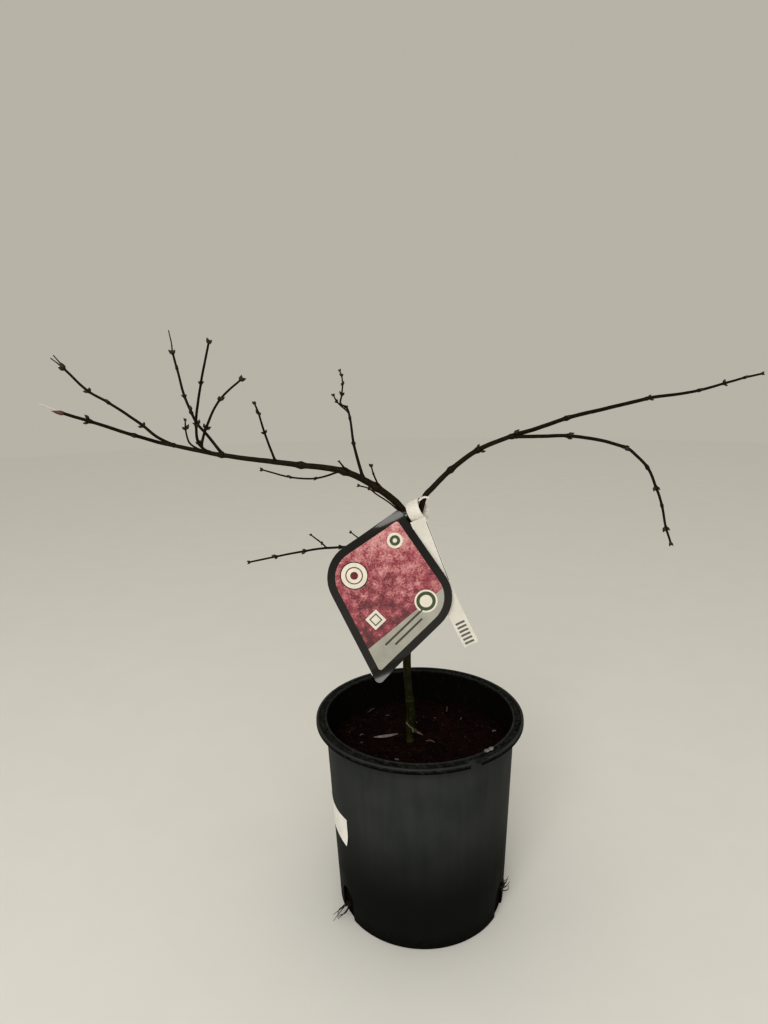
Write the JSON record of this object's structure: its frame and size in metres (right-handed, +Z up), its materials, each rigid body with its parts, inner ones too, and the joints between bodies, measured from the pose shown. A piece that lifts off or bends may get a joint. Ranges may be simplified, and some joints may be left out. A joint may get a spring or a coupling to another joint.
{
  "type": "potted japanese maple",
  "caption": "Leafless young weeping maple in a black nursery pot, with a picture card, a loop label and a plain sticker.",
  "frame": {"origin": "centre of the pot's flat underside", "axes": "+Z up along the pot's axis, +X towards the longer right bough, -Y towards the side that the picture card faces"},
  "size_m": [0.807, 0.23, 0.6434],
  "materials": {
    "pot_plastic": "satin",
    "potting_soil": "matte",
    "trunk_bark": "matte",
    "bough_bark": "matte",
    "twig_bark": "matte",
    "card_plastic": "gloss",
    "label_film": "satin",
    "sticker_paper": "matte"
  },
  "bodies": {
    "root": {"pot": "pot_plastic", "soil": "potting_soil", "trunk": "trunk_bark", "left_bough": "bough_bark", "right_bough": "bough_bark", "right_upper_bough": "bough_bark", "right_arch_bough": "bough_bark", "low_left_bough": "bough_bark", "left_tip_spray": "twig_bark", "left_upper_spray": "twig_bark", "right_tip_spray": "twig_bark", "right_hanging_spray": "twig_bark", "low_tip_spray": "twig_bark", "left_spray_tall": "twig_bark", "left_spray_pair": "twig_bark", "left_spray_short": "twig_bark", "left_spray_middle": "twig_bark", "left_spray_under": "twig_bark", "left_spur": "twig_bark", "upright_spray": "twig_bark", "inner_spur": "twig_bark", "inner_spray_under": "twig_bark", "low_spur": "twig_bark", "picture_card": "card_plastic", "loop_label": "label_film", "pot_sticker": "sticker_paper"}
  },
  "joints": []
}
